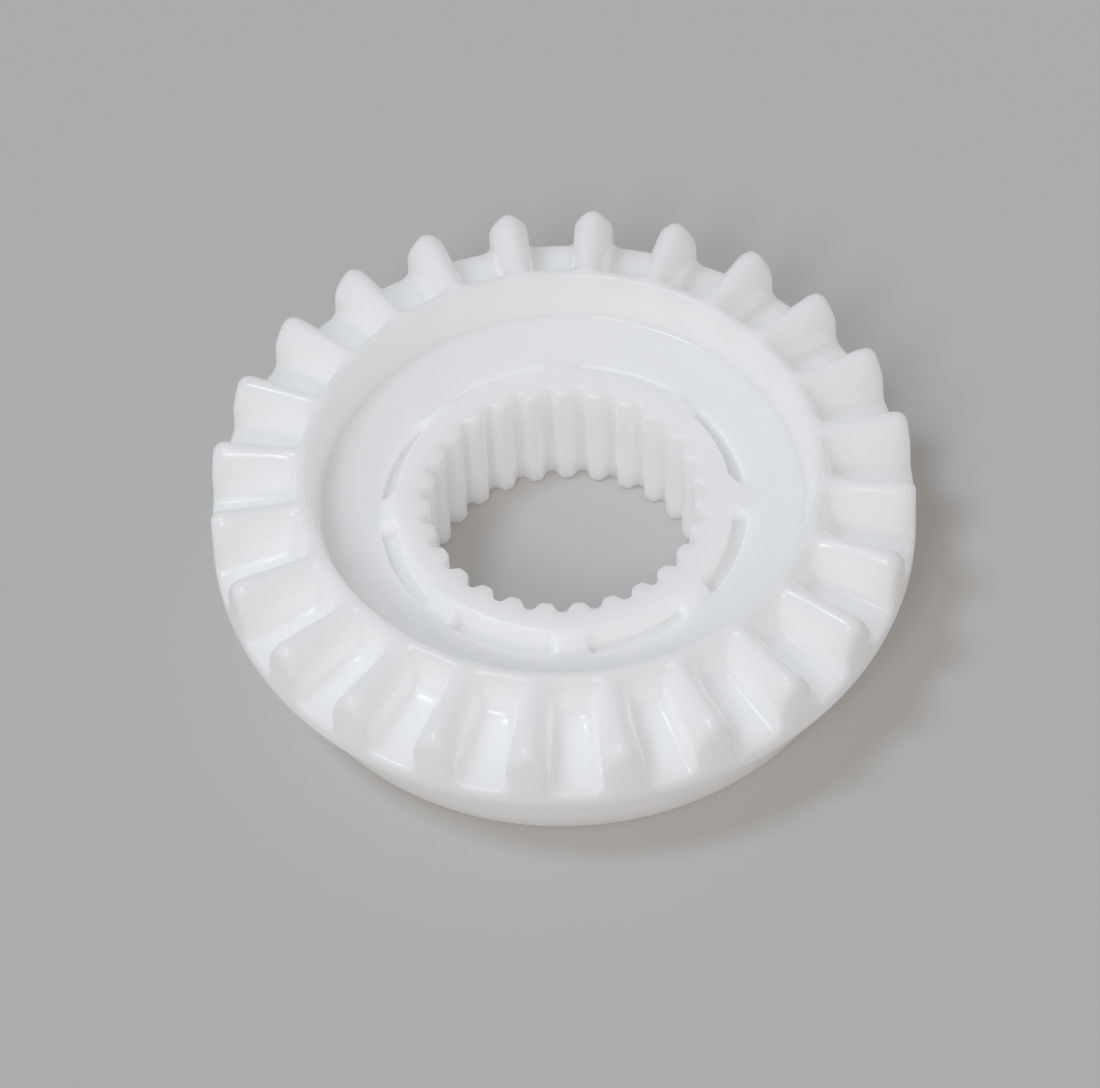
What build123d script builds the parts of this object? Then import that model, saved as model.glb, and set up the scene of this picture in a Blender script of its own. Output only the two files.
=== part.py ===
from build123d import *
import math
import os

# Crown-type straight bevel gear with a splined hub: one plastic moulding, in millimetres.
# The axis is Z.  Z = 0 is the back face and the teeth point towards +Z.

# Driving sizes
outside_d = 70.0            # over the flange at the heel of the teeth
overall_h = 18.5            # back face to tooth tips
wall = 2.3                  # web thickness at the dish wall
tooth_count = 24
spline_count = 27
spline_module = 1.0
bridge_count = 8            # bridges between the blind arc slots, each with a rib behind it

# Heights above the back face
hub_top = 13.6
dish_foot_z = 13.3          # front of the web where the dish wall stands on it
slot_edge_z = 12.0          # front of the web at the outer edge of the slots
slot_floor_z = 10.6
flange_z = 10.25            # underside of the flange
rib_base_z = 1.5            # lower edge of the ribs in the back pocket

# Radii
outside_r = outside_d / 2
rim_outer_r = 26.4          # outer edge of the rim land, where the tooth gaps start
rim_inner_r = 24.95
dish_foot_r = 24.1
slot_outer_r = 18.3
hub_r = 16.7
skirt_r = 30.4
pocket_r = 27.9

# Rounded edges
rim_round = 0.45
heel_round = 1.2
flange_round = 0.4
corner_round = 0.6
small_round = 0.3
bore_chamfer = 0.3

# Heel face: a steep cone that ends in a plain band round the flange
heel_draft_deg = 3.0
flange_band_h = 1.0
heel_foot_z = flange_z + flange_band_h
heel_top_r = outside_r - (overall_h - heel_foot_z) * math.tan(math.radians(heel_draft_deg))

# Tooth form in the plane square to a gap at the reference radius.
# The whole form shrinks towards an apex on the axis, at the height of the tips.
pitch_deg = 360 / tooth_count
reference_r = 34.5
half_pitch = reference_r * math.tan(math.radians(pitch_deg / 2))
tooth_depth = 6.1
tip_round = 1.2
tip_land_deg = 12.0         # the tip arc starts at this slope, beside a narrow land
tip_end_deg = 45.0          # and hands over to the flank arc at this one
flank_round = 4.1
root_round = 0.9
toe_round = 1.5             # from the floor of a gap up to the rim
toe_relief = 0.1            # how far that round starts below the floor

# Spline form
spline_tip_r = 13.1
spline_root_r = spline_tip_r + spline_module
groove_mouth_w = 2.0        # groove width at the tip circle
groove_floor_w = 0.8        # groove width at the root circle
groove_round = 0.4
first_groove_deg = 1.1

# Slots and ribs
bridge_deg = 11.5
slot_end_round = 0.5
slot_floor_wall = 1.8       # floor of a slot to the back of the web, at the hub
rib_w = 1.8
overlap = 0.5               # how far joined shapes run into each other


def revolved(outline, rounding):
    """Solid of revolution about Z from (radius, height) points, with some corners rounded."""
    section = make_face(Polyline(*outline, close=True))
    for index, radius in rounding.items():
        corner = section.vertices().sort_by_distance((*outline[index], 0))[0]
        section = fillet(corner, radius)
    return revolve(Plane.XZ * section, Axis.Z)


def ring_blank():
    """Web, dish wall, rim, flange and skirt, before the teeth are cut."""
    inner_r = hub_r - overlap
    outline = [
        (inner_r, hub_top),
        (hub_r, hub_top),
        (slot_outer_r, slot_edge_z),
        (dish_foot_r, dish_foot_z),
        (rim_inner_r, overall_h),
        (heel_top_r, overall_h),
        (outside_r, heel_foot_z),
        (outside_r, flange_z),
        (skirt_r, flange_z),
        (skirt_r, 0),
        (pocket_r, 0),
        (pocket_r, dish_foot_z - wall),
        (dish_foot_r, dish_foot_z - wall),
        (inner_r, slot_floor_z - slot_floor_wall),
    ]
    rounding = {
        1: small_round,
        2: small_round,
        3: corner_round,
        4: rim_round,
        5: heel_round,
        7: flange_round,
        8: corner_round,
        9: corner_round,
        10: small_round,
        11: corner_round,
    }
    return revolved(outline, rounding)


def gap_section(radius):
    """Section of the space between two teeth, in the plane x = radius."""
    scale = radius / reference_r
    land = tip_round * math.sin(math.radians(tip_land_deg))
    mouth_x = half_pitch - land
    headroom = 1.5

    tip_centre = (half_pitch, -tip_round * math.cos(math.radians(tip_land_deg)))
    shift = (flank_round - tip_round) * math.cos(math.radians(tip_end_deg))
    flank_centre = (tip_centre[0] + shift, tip_centre[1] - shift)
    flank_x = flank_centre[0] - flank_round
    root_centre = (flank_x - root_round, root_round - tooth_depth)

    def place(x, height):
        return (x * scale, overall_h + height * scale)

    def arc(side, centre, size, first_deg, last_deg):
        points = []
        for angle_deg in (first_deg, (first_deg + last_deg) / 2, last_deg):
            angle = math.radians(angle_deg)
            x = centre[0] + size * math.cos(angle)
            points.append(place(side * x, centre[1] + size * math.sin(angle)))
        return ThreePointArc(*points)

    edges = [
        Line(place(mouth_x, headroom), place(-mouth_x, headroom)),
        Line(place(root_centre[0], -tooth_depth), place(-root_centre[0], -tooth_depth)),
    ]
    for side in (1, -1):
        edges.append(Line(place(side * mouth_x, headroom), place(side * mouth_x, 0)))
        edges.append(arc(side, tip_centre, tip_round, 90 + tip_land_deg, 90 + tip_end_deg))
        edges.append(arc(side, flank_centre, flank_round, 90 + tip_end_deg, 180))
        edges.append(Line(place(side * flank_x, flank_centre[1]), place(side * flank_x, root_centre[1])))
        edges.append(arc(side, root_centre, root_round, 0, -90))
    return Plane.YZ.offset(radius) * make_face(edges)


def gap_limits():
    """Ring that a gap is cut from: it ends at the rim, with a round up from the floor."""
    outer_r = outside_r + 2
    top = overall_h + 1
    slope = tooth_depth / reference_r
    outline = [
        (rim_outer_r, top),
        (rim_outer_r, overall_h - rim_outer_r * slope - toe_relief),
        (outer_r, overall_h - outer_r * slope - toe_relief),
        (outer_r, top),
    ]
    return revolved(outline, {1: toe_round})


def tooth_gaps():
    """All the spaces between the teeth; the first is centred on +X."""
    form = loft([gap_section(rim_outer_r - 2), gap_section(outside_r + 3)], ruled=True)
    gap = form & gap_limits()
    return [Rot(0, 0, index * pitch_deg) * gap for index in range(tooth_count)]


def slots():
    """Blind arc slots in the front of the web, around the hub."""
    step = 360 / bridge_count
    inner_r = hub_r - overlap
    section = Circle(slot_outer_r) - Circle(inner_r)
    reach = 2 * slot_outer_r
    edge_deg = (step - bridge_deg) / 2
    edge_y = reach * math.tan(math.radians(edge_deg))
    section = section & make_face(Polyline((0, 0), (reach, -edge_y), (reach, edge_y), close=True))
    outer_corners = section.vertices().sort_by_distance((0, 0))[-2:]
    section = fillet(outer_corners, slot_end_round)
    slot = Pos(0, 0, slot_floor_z) * extrude(section, overall_h - slot_floor_z)
    return [Rot(0, 0, (index + 0.5) * step) * slot for index in range(bridge_count)]


def ribs():
    """Radial ribs in the back pocket, one behind each bridge."""
    inner_r = hub_r - overlap
    outer_r = pocket_r + overlap
    outline = [
        (inner_r, rib_base_z),
        (outer_r, rib_base_z),
        (outer_r, dish_foot_z - wall + overlap),
        (dish_foot_r, dish_foot_z - wall + overlap),
        (inner_r, slot_floor_z - slot_floor_wall + overlap),
    ]
    section = Plane.XZ * make_face(Polyline(*outline, close=True))
    rib = extrude(section, rib_w / 2, both=True)
    return [Rot(0, 0, index * 360 / bridge_count) * rib for index in range(bridge_count)]


def hub_sleeve():
    """Plain sleeve, before the spline is cut."""
    outline = [
        (spline_tip_r, bore_chamfer),
        (spline_tip_r, hub_top - bore_chamfer),
        (spline_tip_r + bore_chamfer, hub_top),
        (hub_r, hub_top),
        (hub_r, 0),
        (spline_tip_r + bore_chamfer, 0),
    ]
    return revolved(outline, {3: small_round, 4: small_round})


def spline_grooves():
    """Straight-sided grooves round the bore, with rounded corners."""
    entry_r = spline_tip_r - overlap
    entry_w = groove_mouth_w + overlap * (groove_mouth_w - groove_floor_w) / spline_module
    outline = [
        (entry_r, -entry_w / 2),
        (spline_root_r, -groove_floor_w / 2),
        (spline_root_r, groove_floor_w / 2),
        (entry_r, entry_w / 2),
    ]
    groove = make_face(Polyline(*outline, close=True))
    section = Circle(spline_tip_r)
    for index in range(spline_count):
        section += Rot(0, 0, first_groove_deg + index * 360 / spline_count) * groove
    section = fillet(section.vertices(), groove_round)
    return extrude(section, hub_top)


def bevel_gear():
    """The finished moulding."""
    ring = ring_blank() - tooth_gaps() - slots()
    return ring + ribs() + (hub_sleeve() - spline_grooves())


os.makedirs("parts", exist_ok=True)
gear = bevel_gear()
export_step(gear, "parts/bevel_gear.step")
print("bevel_gear", len(gear.solids()), "solid", round(gear.volume), "mm3", gear.bounding_box().size)
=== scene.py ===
import math

import bmesh
import bpy
import numpy as np
from mathutils import Matrix, Vector


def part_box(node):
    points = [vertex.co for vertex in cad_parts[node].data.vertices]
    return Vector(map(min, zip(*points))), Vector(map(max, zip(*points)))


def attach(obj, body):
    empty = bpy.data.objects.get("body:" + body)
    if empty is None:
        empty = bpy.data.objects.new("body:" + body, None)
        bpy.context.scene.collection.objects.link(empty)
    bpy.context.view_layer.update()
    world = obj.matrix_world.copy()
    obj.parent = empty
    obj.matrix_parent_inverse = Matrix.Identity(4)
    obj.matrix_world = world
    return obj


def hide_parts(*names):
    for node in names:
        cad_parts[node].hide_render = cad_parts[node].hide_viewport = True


# Crown-type bevel gear, one moulding in white acetal, on a pale floor.
# The gear's sizes are in millimetres here, in the frame of the CAD part: the axis is Z, the back face
# is at Z = 0 and the teeth point up.  The CAD node gives its overall size and place.

MM = 0.001
NODE = "bevel_gear"

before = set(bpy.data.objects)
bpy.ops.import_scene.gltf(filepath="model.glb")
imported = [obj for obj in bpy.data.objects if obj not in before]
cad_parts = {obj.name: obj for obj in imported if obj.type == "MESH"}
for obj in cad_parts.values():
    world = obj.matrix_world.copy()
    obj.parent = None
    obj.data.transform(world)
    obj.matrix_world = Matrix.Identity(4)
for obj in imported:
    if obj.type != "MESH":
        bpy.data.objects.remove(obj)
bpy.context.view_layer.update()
low_corner, high_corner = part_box(NODE)

# Driving sizes
outside_r = min(high_corner.x, high_corner.y, -low_corner.x, -low_corner.y) / MM
top_z = high_corner.z / MM
tooth_count = 24
spline_count = 27
bay_count = 8               # arc slots in front, and bays of the pocket behind

# Heights
hub_top = 13.6
dish_foot_z = 13.3
slot_edge_z = 12.0
slot_floor_z = 10.6
heel_foot_z = 11.25
flange_z = 10.25
web_back_z = 11.0
hub_back_z = 8.95           # back of the web where it meets the hub
rib_base_z = 1.5
pocket_start_z = 1.0

# Radii
rim_outer_r = 26.4
rim_inner_r = 24.95
dish_foot_r = 24.1
slot_outer_r = 18.3
hub_r = 16.7
skirt_r = 30.4
pocket_r = 27.9
spline_tip_r = 13.1
spline_root_r = 14.1

# Tooth form, in the plane square to a gap at the reference radius; it shrinks towards the axis
reference_r = 34.5
half_pitch = reference_r * math.tan(math.pi / tooth_count)
tooth_depth = 6.1
tip_round = 1.2
flank_round = 4.1
root_round = 0.9
heel_draft = math.tan(math.radians(3.0))

# Spline form: half the width of a groove at its floor and at its mouth, and the rounds there
groove_floor_half = 0.42
groove_mouth_half = 1.0
groove_floor_round = 0.5
groove_mouth_round = 0.45
first_groove = math.radians(1.1)

# Slots and ribs
bridge_angle = math.radians(11.5)
slot_corner = 0.6
rib_half = 0.9              # half the width at a rib's edge, and at its foot
rib_foot_half = 0.92

# Edges
toe_edge = 0.5              # round from the rim land into the wall at a gap's inner end
toe_edge_cap = 0.35         # largest share of the wall's height that it may take
toe_scoop = 1.5             # length of the round from the foot of the wall to the gap's floor
toe_fillet = 0.75           # how far that round stands off the floor and flanks
toe_fillet_rate = 1.2       # how soon below the tips it reaches that, for each millimetre
heel_edge_tip = (1.3, 0.85)     # round at the heel, along and across a tooth, at its tip
heel_edge_root = (0.4, 0.35)    # and at the floor of a gap
heel_edge_depth = 0.6       # share of the tooth's depth over which one turns into the other
spline_edge = 0.4
slot_edge = 0.4
slot_fillet = 0.3
rib_edge = 0.3
rib_fillet = 0.5
rib_edge_cap = 0.5          # largest share of a rib's height that each of the two may take
rib_fillet_cap = 0.49
hub_round = 0.35
ramp_round = 0.5
rim_round = 0.32
flange_round = 0.4
corner_round = 0.6
foot_round = 0.3            # inner edges of the skirt and the hub, at the back
pocket_hub_round = 0.5

# Places where one patch of the surface hands over to the next
bore_land_r = 15.5          # on the hub's two ends, outside the spline
hub_start_r = hub_r - 1.5
hub_land_r = hub_r - 0.75
sector_outer_r = slot_outer_r + 1.1
rim_land_r = rim_inner_r + 0.4
tooth_start_r = rim_outer_r - toe_edge - 0.2
band_start_z = heel_foot_z - 0.3

# Fineness of the mesh
arc_steps = 4
slot_columns = 60
slot_corner_steps = 5
slot_end_steps = 4
sector_side = 2 * slot_corner_steps + slot_end_steps
sector_rings = 6
back_columns = 288
bore_steps = 5
floor_steps = 4             # five parts of a tooth's section, from the middle of a gap to the tip
root_steps = 5
wall_steps = 3
flank_steps = 7
tip_steps = 5
scoop_steps = 6
face_steps = 6
heel_steps = 4
bay_steps = 8
least_step = 0.2            # closest that the dish's first two rings may lie
front_run = 0.9             # longest straight run of an outline, in front, behind and in the bore
back_run = 1.6
spline_run = 0.35
quarter = np.linspace(0, math.pi / 2, arc_steps + 1)

# Softening of the toe ends: its share at rows of a tooth's surface counted from the rim, and its passes
soft_rows = (0, 2, 12, 16)
soft_shares = (0, 0.5, 0.5, 0)
soft_passes = 24


def unit(vector):
    return vector / np.linalg.norm(vector)


def rounded(corners, longest):
    """Points along an outline of (x, y, radius) corners, with straight runs cut no longer than longest."""
    points = []
    for index, (x, y, radius) in enumerate(corners):
        here = np.array((x, y), float)
        arc = [here]
        if radius:
            back = unit(np.array(corners[index - 1][:2]) - here)
            ahead = unit(np.array(corners[index + 1][:2]) - here)
            half = math.acos(back @ ahead) / 2
            centre = here + unit(back + ahead) * radius / math.sin(half)
            start = here + back * radius / math.tan(half) - centre
            end = here + ahead * radius / math.tan(half) - centre
            turn = math.pi - 2 * half
            shares = np.linspace(0, 1, arc_steps + 1)
            arc = [
                centre + (math.sin(turn * (1 - t)) * start + math.sin(turn * t) * end) / math.sin(turn)
                for t in shares
            ]
        if points:
            run = np.linalg.norm(arc[0] - points[-1])
            cuts = max(1, math.ceil(run / longest))
            points += [points[-1] + (arc[0] - points[-1]) * k / cuts for k in range(1, cuts)]
        points += arc
    return np.array(points)


def polar(angle, radius, height):
    """XYZ points from arrays of angle, radius and height."""
    return np.stack([radius * np.cos(angle), radius * np.sin(angle), height + 0 * angle], -1)


def repeated(angle, radius, height, count, first=0.0):
    """Rows of half a period, from its middle to its edge, mirrored and repeated round the axis."""
    shape = np.broadcast(angle, radius, height).shape
    angle, radius, height = (np.broadcast_to(a, shape) for a in (angle, radius, height))

    def period(values, sign):
        return np.concatenate([sign * values[:, :0:-1], values[:, :-1]], 1)

    angle, radius, height = period(angle, -1), period(radius, 1), period(height, 1)
    turns = [polar(first + angle + k * math.tau / count, radius, height) for k in range(count)]
    return np.concatenate(turns, 1)


def revolved(meridian, columns):
    """Rows of points round the axis, from (radius, height) points."""
    angle = np.arange(columns) * math.tau / columns
    return polar(angle[None, :], meridian[:, :1], meridian[:, 1:])


class Skin:
    """Points and faces of one closed surface, collected patch by patch."""

    def __init__(self):
        self.points = []
        self.faces = []
        self.count = 0

    def add(self, rows):
        """Adds points and returns their numbers, in the same shape."""
        numbers = self.count + np.arange(rows[..., 0].size).reshape(rows.shape[:-1])
        self.points.append(rows.reshape(-1, 3))
        self.count += numbers.size
        return numbers

    def sheet(self, rows):
        """Quads between neighbouring rows, each a closed ring.  Returns the numbers of the points."""
        numbers = self.add(rows)
        ahead = np.roll(numbers, -1, 1)
        quads = np.stack([numbers[:-1], ahead[:-1], ahead[1:], numbers[1:]], -1)
        self.faces += quads.reshape(-1, 4).tolist()
        return numbers

    def zip(self, ring_a, ring_b):
        """Triangles between two rings round the axis that need not have the same number of points."""
        points = np.concatenate(self.points)
        rings, angles = [], []
        for ring in (ring_a, ring_b):
            angle = np.arctan2(points[ring, 1], points[ring, 0]) % math.tau
            order = np.argsort(angle)
            rings.append(np.append(ring[order], ring[order[0]]))
            angles.append(np.append(angle[order], angle[order[0]] + math.tau))
        a, b = 0, 0
        while a < len(ring_a) or b < len(ring_b):
            if b == len(ring_b) or (a < len(ring_a) and angles[0][a + 1] <= angles[1][b + 1]):
                self.faces.append([rings[0][a], rings[0][a + 1], rings[1][b]])
                a += 1
            else:
                self.faces.append([rings[0][a], rings[1][b + 1], rings[1][b]])
                b += 1

    def mesh(self, name):
        """The welded mesh, in metres, with its normals outwards."""
        mesh = bpy.data.meshes.new(name)
        points = np.concatenate(self.points) * MM
        mesh.from_pydata(points.tolist(), [], [[int(n) for n in face] for face in self.faces])
        shape = bmesh.new()
        shape.from_mesh(mesh)
        bmesh.ops.remove_doubles(shape, verts=shape.verts, dist=1e-7)
        bmesh.ops.recalc_face_normals(shape, faces=shape.faces)
        shape.to_mesh(mesh)
        shape.free()
        mesh.shade_smooth()
        return mesh


def front_meridian():
    """Hub top, ramp, web, dish wall and rim land."""
    return rounded(
        [
            (hub_start_r, hub_top, 0),
            (hub_r, hub_top, hub_round),
            (slot_outer_r, slot_edge_z, ramp_round),
            (dish_foot_r, dish_foot_z, corner_round),
            (rim_inner_r, top_z, rim_round),
            (rim_land_r, top_z, 0),
        ],
        front_run,
    )


def back_meridian():
    """Flange band, its underside, the skirt and the skirt's end."""
    return rounded(
        [
            (outside_r, band_start_z, 0),
            (outside_r, flange_z, flange_round),
            (skirt_r, flange_z, corner_round),
            (skirt_r, 0, corner_round),
            (pocket_r, 0, foot_round),
            (pocket_r, 2 * foot_round, 0),
        ],
        back_run,
    )


def spline_outline():
    """Half a groove and half a land, as angle and radius."""
    edge = math.pi / spline_count
    outline = rounded(
        [
            (spline_root_r, 0, 0),
            (spline_root_r, groove_floor_half, groove_floor_round),
            (spline_tip_r, groove_mouth_half, groove_mouth_round),
            (spline_tip_r * math.cos(edge), spline_tip_r * math.sin(edge), 0),
        ],
        spline_run,
    )
    return np.arctan2(outline[:, 1], outline[:, 0])[None, :], np.hypot(outline[:, 0], outline[:, 1])[None, :]


def spline_rows():
    """From the hub's top, down through the bore, to the back of the hub."""
    angle, radius = spline_outline()
    flare = spline_edge * (1 - np.sin(quarter))
    drop = spline_edge * (1 - np.cos(quarter))
    levels = np.linspace(hub_top - spline_edge, spline_edge, bore_steps + 1)[1:-1]
    radii = [radius * 0 + bore_land_r]
    heights = [hub_top]
    radii += [radius + step for step in flare]
    heights += [hub_top - step for step in drop]
    radii += [radius for _ in levels]
    heights += list(levels)
    radii += [radius + step for step in flare[::-1]]
    heights += [step for step in drop[::-1]]
    radii += [radius * 0 + bore_land_r]
    heights += [0]
    return repeated(angle, np.concatenate(radii), np.array(heights)[:, None], spline_count, first_groove)


def slot_outline(stand_off):
    """A slot's outline, pushed outwards by stand_off, as angle and radius."""
    middle_r = (hub_r + slot_outer_r) / 2
    half_width = (slot_outer_r - hub_r) / 2 + stand_off
    half_length = middle_r * (math.tau / bay_count - bridge_angle) / 2 + stand_off
    corner = slot_corner + stand_off
    straight = half_length - corner
    along = np.linspace(-straight, straight, slot_columns + 1)[:-1]
    turn = np.linspace(0, math.pi / 2, slot_corner_steps + 1)
    wall = np.linspace(corner - half_width, half_width - corner, slot_end_steps + 1)[1:-1]
    end_x = np.concatenate([
        straight + corner * np.sin(turn),
        half_length + 0 * wall,
        straight + corner * np.cos(turn),
    ])
    end_y = np.concatenate([
        corner - half_width - corner * np.cos(turn),
        wall,
        half_width - corner + corner * np.sin(turn),
    ])[:-1]
    half_x = np.concatenate([along, end_x[:-1]])
    half_y = np.concatenate([0 * along - half_width, end_y])
    x = np.concatenate([half_x, -half_x])
    y = np.concatenate([half_y, -half_y])
    return x / middle_r, middle_r + y


def sector_outline():
    """The border of the part of the web that holds one slot, as angle and radius."""
    half = math.pi / bay_count
    along = np.linspace(-half, half, slot_columns + 1)[:-1]
    side = np.linspace(hub_land_r, sector_outer_r, sector_side + 1)[:-1]
    back = (hub_land_r + sector_outer_r) - side
    angle = np.concatenate([along, 0 * side + half, -along, 0 * side - half])
    radius = np.concatenate([0 * along + hub_land_r, side, 0 * along + sector_outer_r, back])
    return angle, radius


def slot_sector(skin, meridian, index):
    """The web round one blind slot, the slot's walls and its floor."""
    border = sector_outline()
    mouth = slot_outline(slot_edge)
    mouth_z = np.interp(mouth[1], meridian[:, 0], meridian[:, 1])
    rows = []
    for share in np.linspace(0, 1, sector_rings)[:-1]:
        angle, radius = ((1 - share) * b + share * m for b, m in zip(border, mouth))
        rows.append((angle, radius, np.interp(radius, meridian[:, 0], meridian[:, 1])))
    for turn in quarter:
        outline = slot_outline(slot_edge * (1 - math.sin(turn)))
        rows.append((*outline, mouth_z - slot_edge * (1 - math.cos(turn))))
    for turn in quarter:
        outline = slot_outline(-slot_fillet * (1 - math.cos(turn)))
        rows.append((*outline, 0 * mouth_z + slot_floor_z + slot_fillet * (1 - math.sin(turn))))
    middle = (index + 0.5) * math.tau / bay_count
    numbers = skin.sheet(np.array([polar(middle + a, r, z) for a, r, z in rows]))
    floor = numbers[-1]
    half = len(floor) // 2
    inner, outer = floor[:slot_columns + 1], floor[half:half + slot_columns + 1][::-1]
    skin.faces += np.stack([inner[:-1], inner[1:], outer[1:], outer[:-1]], -1).tolist()
    skin.faces.append(floor[slot_columns:half + 1].tolist())
    skin.faces.append(np.append(floor[half + slot_columns:], floor[0]).tolist())


def tooth_section():
    """Half a gap and half a tooth at the reference radius: places, depths and normals into the tooth."""
    tip = np.array((half_pitch, tip_round))
    shift = (flank_round - tip_round) * math.sqrt(0.5)
    flank = tip + shift
    flank_x = flank[0] - flank_round
    root = np.array((flank_x - root_round, tooth_depth - root_round))
    floor_x = np.linspace(0, root[0], floor_steps + 1)[:-1]
    wall_z = np.linspace(root[1], flank[1], wall_steps + 1)[1:-1]
    root_turn = np.linspace(0, math.pi / 2, root_steps + 1)
    flank_turn = np.linspace(0, math.pi / 4, flank_steps + 1)
    tip_turn = np.linspace(math.pi / 4, math.pi / 2, tip_steps + 1)[1:]
    root_way = np.stack([np.sin(root_turn), np.cos(root_turn)], -1)
    flank_way = np.stack([np.cos(flank_turn), np.sin(flank_turn)], -1)
    tip_way = np.stack([np.cos(tip_turn), np.sin(tip_turn)], -1)
    places = np.concatenate([
        np.stack([floor_x, 0 * floor_x + tooth_depth], -1),
        root + root_round * root_way,
        np.stack([0 * wall_z + flank_x, wall_z], -1),
        flank - flank_round * flank_way,
        tip - tip_round * tip_way,
    ])
    inwards = np.concatenate([
        np.tile((0.0, 1.0), (len(floor_x), 1)),
        root_way,
        np.tile((1.0, 0.0), (len(wall_z), 1)),
        flank_way,
        tip_way,
    ])
    root_end = len(floor_x) + len(root_way) - 1
    return places, inwards, root_end


def relaxed(rows, softness):
    """Moves points towards the middle of their neighbours, by a share for each row, and repeats it."""
    for _ in range(soft_passes):
        middle = (np.roll(rows, 1, 1) + np.roll(rows, -1, 1))[1:-1] / 4 + (rows[:-2] + rows[2:]) / 4
        rows[1:-1] += softness[1:-1, None, None] * (middle - rows[1:-1])
    return rows


def smooth_step(values):
    """A smooth rise from 0 to 1."""
    values = np.clip(values, 0, 1)
    return values * values * (3 - 2 * values)


def tooth_rows():
    """From the rim land, over the teeth and gaps, down the heel face to its foot."""
    places, inwards, root_end = tooth_section()
    steps = np.linalg.norm(np.diff(places, axis=0), axis=1)
    length = np.append(0, np.cumsum(steps))
    rim_top = np.stack([half_pitch * length / length[-1], 0 * length], -1)
    angles, radii, heights = [], [], []

    def row(section, radius):
        angle = np.arctan(section[:, 0] / reference_r)
        angles.append(angle)
        radii.append(radius + 0 * angle)
        heights.append(top_z - radius * np.cos(angle) * section[:, 1] / reference_r)

    # Rim land, and the wall from it down into a gap
    row(rim_top, tooth_start_r)
    stand_off = toe_fillet * (1 - np.exp(-toe_fillet_rate * places[:, 1:]))
    wall_foot = places - stand_off * inwards
    drop = wall_foot - rim_top
    fall = np.maximum(np.linalg.norm(drop, axis=1), 0.01) * rim_outer_r / reference_r
    edge_share = np.minimum(toe_edge_cap, toe_edge / fall)[:, None]
    for turn in quarter:
        row(rim_top + drop * edge_share * (1 - math.cos(turn)), rim_outer_r - toe_edge * (1 - math.sin(turn)))
    row(rim_top + drop * (1 + edge_share) / 2, rim_outer_r)

    # Round from the foot of that wall to the floor and flanks, then the straight teeth
    for turn in np.linspace(0, math.pi / 2, scoop_steps + 1):
        section = places - stand_off * inwards * (1 - math.sin(turn))
        row(section, rim_outer_r + toe_scoop * (1 - math.cos(turn)))
    blend = smooth_step(places[:, 1] / tooth_depth / heel_edge_depth)
    along = heel_edge_tip[0] + (heel_edge_root[0] - heel_edge_tip[0]) * blend
    across = heel_edge_tip[1] + (heel_edge_root[1] - heel_edge_tip[1]) * blend
    slope = places[:, 1] / reference_r
    heel_top_r = outside_r - (top_z - heel_foot_z) * heel_draft
    heel_r = heel_top_r / (1 - slope * heel_draft)
    start_r = rim_outer_r + toe_scoop
    for share in np.linspace(0, 1, face_steps + 1)[1:-1]:
        row(places, start_r + (heel_r - along - start_r) * share)

    # Round at the heel, and the heel face down to the flange's band
    for turn in quarter:
        section = places + (across * (1 - math.cos(turn)))[:, None] * inwards
        row(section, heel_r - along * (1 - math.sin(turn)))
    edge_angle, edge_z = angles[-1], heights[-1]
    foot_angle = edge_angle.copy()
    climb = (length[root_end:] - length[root_end]) / (length[-1] - length[root_end])
    foot_angle[root_end:] = edge_angle[root_end] + (math.pi / tooth_count - edge_angle[root_end]) * climb
    radii[-1] = outside_r - (edge_z - heel_foot_z) * heel_draft
    for share in np.linspace(0, 1, heel_steps + 1)[1:]:
        height = edge_z + (heel_foot_z - edge_z) * share
        angles.append(edge_angle + (foot_angle - edge_angle) * share)
        heights.append(height)
        radii.append(outside_r - (height - heel_foot_z) * heel_draft)
    rows = repeated(np.array(angles), np.array(radii), np.array(heights), tooth_count)
    softness = np.interp(np.arange(len(rows)), soft_rows, soft_shares)
    return relaxed(rows, softness)


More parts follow.
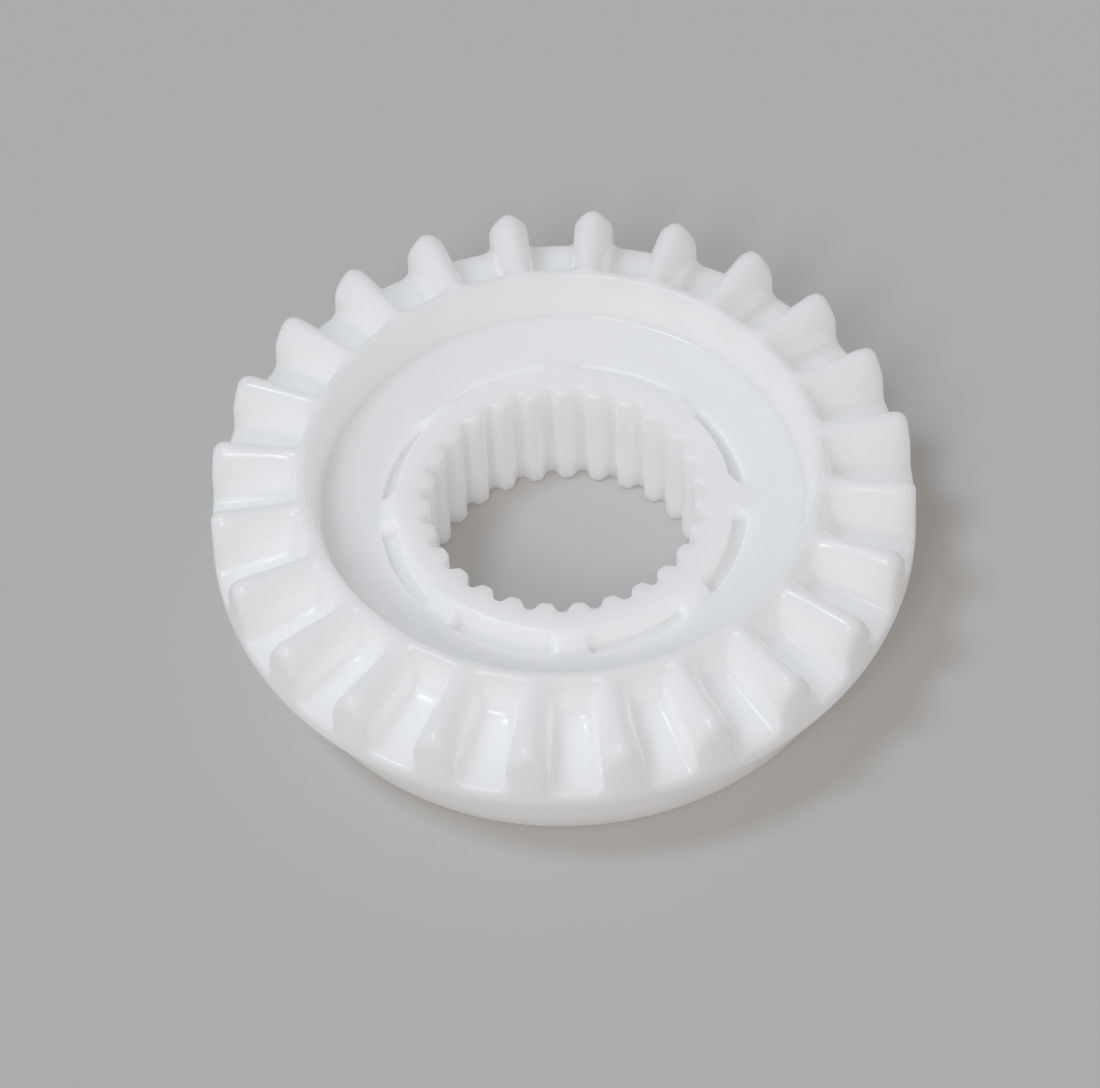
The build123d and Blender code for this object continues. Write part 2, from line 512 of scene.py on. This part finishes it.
def pocket_rows():
    """The pocket behind the web, from the skirt to the hub, with a rib at the edge of each bay.

    Each point lies a share of the way from the pocket's own outline to the flat edge of a rib.
    """
    path = rounded(
        [
            (pocket_r, pocket_start_z, 0),
            (pocket_r, rib_base_z, 0),
            (pocket_r, web_back_z, corner_round),
            (dish_foot_r, web_back_z, 0),
            (hub_r, hub_back_z, pocket_hub_round),
            (hub_r, rib_base_z, 0),
            (hub_r, 0, foot_round),
            (hub_r - 2 * foot_round, 0, 0),
        ],
        back_run,
    )
    above = np.flatnonzero(path[:, 1] >= rib_base_z - 1e-6)
    first, last = above[0], above[-1]
    steps = np.linalg.norm(np.diff(path[first:last + 1], axis=0), axis=1)
    share = np.append(0, np.cumsum(steps)) / steps.sum()
    ribbed = path.copy()
    ribbed[first:last + 1, 0] = pocket_r + (hub_r - pocket_r) * share
    ribbed[first:last + 1, 1] = rib_base_z
    gap = np.maximum(np.linalg.norm(ribbed - path, axis=1), 1e-6)

    columns = [(0.0, 1 + 0 * gap), (rib_half / 2, 1 + 0 * gap)]
    for turn in quarter:
        fall = np.minimum(rib_edge_cap, rib_edge * (1 - math.cos(turn)) / gap)
        columns.append((rib_half - rib_edge * (1 - math.sin(turn)), 1 - fall))
    for turn in quarter:
        rise = np.minimum(rib_fillet_cap, rib_fillet * (1 - math.sin(turn)) / gap)
        columns.append((rib_foot_half + rib_fillet * (1 - math.cos(turn)), rise))
    angles, radii, heights = [], [], []
    for place, blend in columns:
        point = path + (ribbed - path) * blend[:, None]
        angles.append(np.arcsin(place / point[:, 0]))
        radii.append(point[:, 0])
        heights.append(point[:, 1])
    edge = angles[-1]
    for share in np.linspace(0, 1, bay_steps + 1)[1:]:
        angles.append(edge + (math.pi / bay_count - edge) * share)
        radii.append(path[:, 0])
        heights.append(path[:, 1])
    return repeated(np.array(angles).T, np.array(radii).T, np.array(heights).T, bay_count)


def gear_mesh():
    """The whole gear as one closed surface."""
    skin = Skin()
    bore = skin.sheet(spline_rows())
    front = front_meridian()
    columns = bay_count * slot_columns
    hub_land = skin.add(revolved(np.array([(hub_land_r, hub_top)]), columns))
    skin.zip(bore[0], hub_land[0])
    for index in range(bay_count):
        slot_sector(skin, front, index)
    web_start = (sector_outer_r, np.interp(sector_outer_r, front[:, 0], front[:, 1]))
    web = front[front[:, 0] > sector_outer_r + least_step]
    dish = skin.sheet(revolved(np.concatenate([[web_start], web]), columns))
    teeth = skin.sheet(tooth_rows())
    skin.zip(dish[-1], teeth[0])
    pocket = skin.sheet(pocket_rows())
    back = skin.sheet(revolved(back_meridian(), back_columns))
    skin.zip(teeth[-1], back[0])
    skin.zip(back[-1], pocket[0])
    skin.zip(pocket[-1], bore[-1])
    return skin.mesh(NODE + "_skin")


# Camera: it looks down at the front of the gear from about a third of a metre
camera_distance = 350.6 * MM
camera_elevation = math.radians(52.13)
camera_turn = math.radians(-0.39)
camera_roll = math.radians(-2.88)
camera_aim = Vector((-1.46, -5.93, 13.6)) * MM
lens_mm = 117.0
sensor_mm = 36.0

# Floor, in metres: half its side, and how far under the gear it lies
floor_half = 2.0
floor_drop = 0.01 * MM


def add_object(name, data):
    """A new object in the scene."""
    made = bpy.data.objects.new(name, data)
    bpy.context.scene.collection.objects.link(made)
    return made


def link(tree, source, target):
    """Joins an output to an input."""
    tree.links.new(source, target)


def add_noise(tree, place, per_metre, detail):
    """Noise over the object's own coordinates.  Its mean is about one half."""
    noise = tree.nodes.new("ShaderNodeTexNoise")
    noise.inputs["Scale"].default_value = per_metre
    noise.inputs["Detail"].default_value = detail
    link(tree, place, noise.inputs["Vector"])
    return noise.outputs["Fac"]


def add_ramp(tree, value, low, high):
    """A colour ramp between two stops, each a position and a colour."""
    ramp = tree.nodes.new("ShaderNodeValToRGB")
    for element, (position, colour) in zip(ramp.color_ramp.elements, (low, high)):
        element.position = position
        element.color = (*colour, 1)
    link(tree, value, ramp.inputs["Fac"])
    return ramp.outputs["Color"]


def add_bump(tree, height, depth, before=None):
    """Relief of the given depth, in metres, over an earlier bump's normal."""
    bump = tree.nodes.new("ShaderNodeBump")
    bump.inputs["Distance"].default_value = depth
    link(tree, height, bump.inputs["Height"])
    if before:
        link(tree, before, bump.inputs["Normal"])
    return bump.outputs["Normal"]


def plastic_material():
    """White acetal: translucent and glossy, with the faint unevenness of a moulded surface."""
    material = bpy.data.materials.new("white_acetal")
    material.use_nodes = True
    tree = material.node_tree
    shader = tree.nodes["Principled BSDF"]
    place = tree.nodes.new("ShaderNodeTexCoord").outputs["Object"]

    cloud = add_noise(tree, place, per_metre=95, detail=3.0)
    tint = add_ramp(tree, cloud, low=(0.3, (0.972, 0.974, 0.980)), high=(0.7, (0.986, 0.986, 0.986)))
    link(tree, tint, shader.inputs["Base Color"])

    patches = add_noise(tree, place, per_metre=420, detail=4.0)
    gloss = add_ramp(tree, patches, low=(0.25, (0.19, 0.19, 0.19)), high=(0.75, (0.26, 0.26, 0.26)))
    link(tree, gloss, shader.inputs["Roughness"])

    sink_marks = add_noise(tree, place, per_metre=160, detail=0.0)
    sink = add_bump(tree, sink_marks, depth=0.03 * MM)
    fine_grain = add_noise(tree, place, per_metre=2200, detail=2.0)
    grain = add_bump(tree, fine_grain, depth=0.0015 * MM, before=sink)
    link(tree, grain, shader.inputs["Normal"])

    shader.inputs["IOR"].default_value = 1.48
    shader.inputs["Subsurface Weight"].default_value = 1.0
    shader.inputs["Subsurface Radius"].default_value = (1.0, 0.97, 0.94)
    shader.inputs["Subsurface Scale"].default_value = 3.8 * MM

    # A weak glow stands in for the many bounces of light inside the dish and the bore
    shader.inputs["Emission Color"].default_value = (1.0, 0.99, 0.99, 1)
    shader.inputs["Emission Strength"].default_value = 0.08
    return material


def floor_material():
    """Pale and matt, with a faint warm glow that keeps its shadows brown."""
    material = bpy.data.materials.new("pale_floor")
    material.use_nodes = True
    shader = material.node_tree.nodes["Principled BSDF"]
    shader.inputs["Base Color"].default_value = (0.597, 0.590, 0.580, 1)
    shader.inputs["Roughness"].default_value = 0.9
    shader.inputs["Specular IOR Level"].default_value = 0.0
    shader.inputs["Emission Color"].default_value = (1.0, 0.85, 0.62, 1)
    shader.inputs["Emission Strength"].default_value = 0.03
    return material


def make_floor():
    """A square floor, a hair under the gear so that the two don't share a plane."""
    mesh = bpy.data.meshes.new("floor")
    half, level = floor_half, -floor_drop
    corners = [(-half, -half, level), (half, -half, level), (half, half, level), (-half, half, level)]
    mesh.from_pydata(corners, [], [(0, 1, 2, 3)])
    floor = add_object("floor", mesh)
    floor.data.materials.append(floor_material())


def make_camera():
    """The camera at its fitted place, turned about its own axis by the roll."""
    data = bpy.data.cameras.new("camera")
    data.lens = lens_mm
    data.sensor_width = sensor_mm
    camera = add_object("camera", data)
    heading = Vector((math.sin(camera_turn), math.cos(camera_turn), 0)) * math.cos(camera_elevation)
    forward = heading - Vector((0, 0, math.sin(camera_elevation)))
    camera.location = camera_aim - forward * camera_distance
    level = forward.to_track_quat("-Z", "Y").to_matrix()
    camera.rotation_euler = (level @ Matrix.Rotation(camera_roll, 3, "Z")).to_euler()
    data.clip_start = 0.01
    data.clip_end = 10
    bpy.context.scene.camera = camera


def add_sun(name, azimuth_deg, elevation_deg, spread_deg, energy, colour):
    """A distant soft light, placed by the direction that it comes from."""
    sun = bpy.data.lights.new(name, "SUN")
    sun.energy = energy
    sun.angle = math.radians(spread_deg)
    sun.color = colour
    azimuth = math.radians(azimuth_deg)
    elevation = math.radians(elevation_deg)
    level = math.cos(elevation)
    towards = Vector((level * math.cos(azimuth), level * math.sin(azimuth), math.sin(elevation)))
    add_object(name, sun).rotation_euler = towards.to_track_quat("Z", "Y").to_euler()


def make_lights():
    """A high soft light from the left, a smaller one over the near edge, and an even white room."""
    sky_blue = (0.64, 0.81, 0.97)
    warm_white = (1.0, 0.95, 0.93)
    add_sun("key", azimuth_deg=-166, elevation_deg=66, spread_deg=14, energy=0.66, colour=sky_blue)
    add_sun("window", azimuth_deg=-113, elevation_deg=44, spread_deg=16, energy=0.54, colour=warm_white)
    world = bpy.data.worlds.new("room")
    world.use_nodes = True
    background = world.node_tree.nodes["Background"]
    background.inputs["Color"].default_value = (1.0, 0.97, 0.955, 1)
    background.inputs["Strength"].default_value = 0.39
    bpy.context.scene.world = world
    bpy.context.scene.view_settings.view_transform = "Standard"


gear = add_object("gear_moulding", gear_mesh())
gear.data.materials.append(plastic_material())
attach(gear, "root")
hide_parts(NODE)
make_floor()
make_camera()
make_lights()
